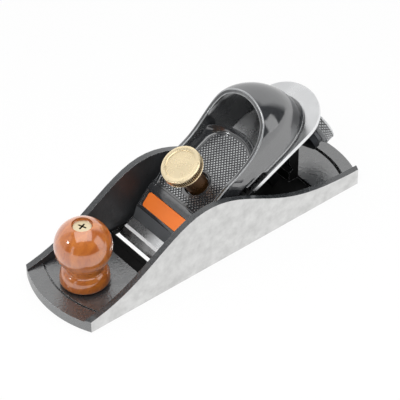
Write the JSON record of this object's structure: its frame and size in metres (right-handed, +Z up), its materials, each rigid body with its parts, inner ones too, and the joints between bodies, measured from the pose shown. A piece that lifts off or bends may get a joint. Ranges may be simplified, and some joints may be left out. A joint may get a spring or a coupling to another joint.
{
  "type": "low-angle block plane",
  "caption": "Small hand plane with curved cheeks, sloping bevel-up blade, hooded lever cap held by a thumbscrew, turned front knob and a wheel that feeds the blade.",
  "frame": {"origin": "middle of the sole's underside, half way between toe and heel", "axes": "+X towards the toe, +Y towards one cheek, +Z up from the sole"},
  "size_m": [0.178, 0.0512, 0.0668],
  "materials": {
    "iron": "ground bright outside, dark enamel inside",
    "cutter_steel": "bright ground steel",
    "cap_enamel": "glossy dark grey enamel",
    "badge_orange": "bare orange plate",
    "brass": "polished and lacquered brass",
    "wood": "turned hardwood under gloss lacquer",
    "plated_steel": "nickel plate",
    "dark_steel": "oiled dark steel"
  },
  "bodies": {
    "plane_body": {"body": "iron", "front_knob": "wood", "knob_screw": "brass"},
    "cutter": {"blade": "cutter_steel", "adjuster_block": "dark_steel"},
    "adjuster": {"adjuster_spindle": "dark_steel", "adjuster_wheel": "plated_steel", "wheel_washer": "plated_steel", "wheel_screw": "plated_steel", "spindle_clip": "dark_steel"},
    "cap": {"lever_cap": "cap_enamel", "cap_badge": "badge_orange", "clamp_washer": "plated_steel"},
    "clamp": {"clamp_screw": "brass", "clamp_ring": "dark_steel"}
  },
  "joints": [
    {"name": "blade_feed", "type": "slide", "parent": "plane_body", "child": "cutter", "axis": [0.9033, 0, -0.4289], "range_m": [-0.005, 0.0015]},
    {"name": "adjuster_turn", "type": "hinge", "parent": "plane_body", "child": "adjuster", "pos_m": [-0.06823, 0, 0.02311], "axis": [0.9033, 0, -0.4289], "range_deg": [-1800.5, 540.5]},
    {"name": "cap_lift", "type": "slide", "parent": "plane_body", "child": "cap", "axis": [0.4894, 0, 0.8721], "range_m": [0, 0.003]},
    {"name": "clamp_turn", "type": "hinge", "parent": "cap", "child": "clamp", "pos_m": [-0.0062, 0, 0.0179], "axis": [0.4894, 0, 0.8721], "range_deg": [0, 864.5]}
  ],
  "couplings": [
    {"joint": "adjuster_turn", "follows": "blade_feed", "rad_per_m": 6283.2},
    {"joint": "clamp_turn", "follows": "cap_lift", "rad_per_m": 5026.5}
  ]
}
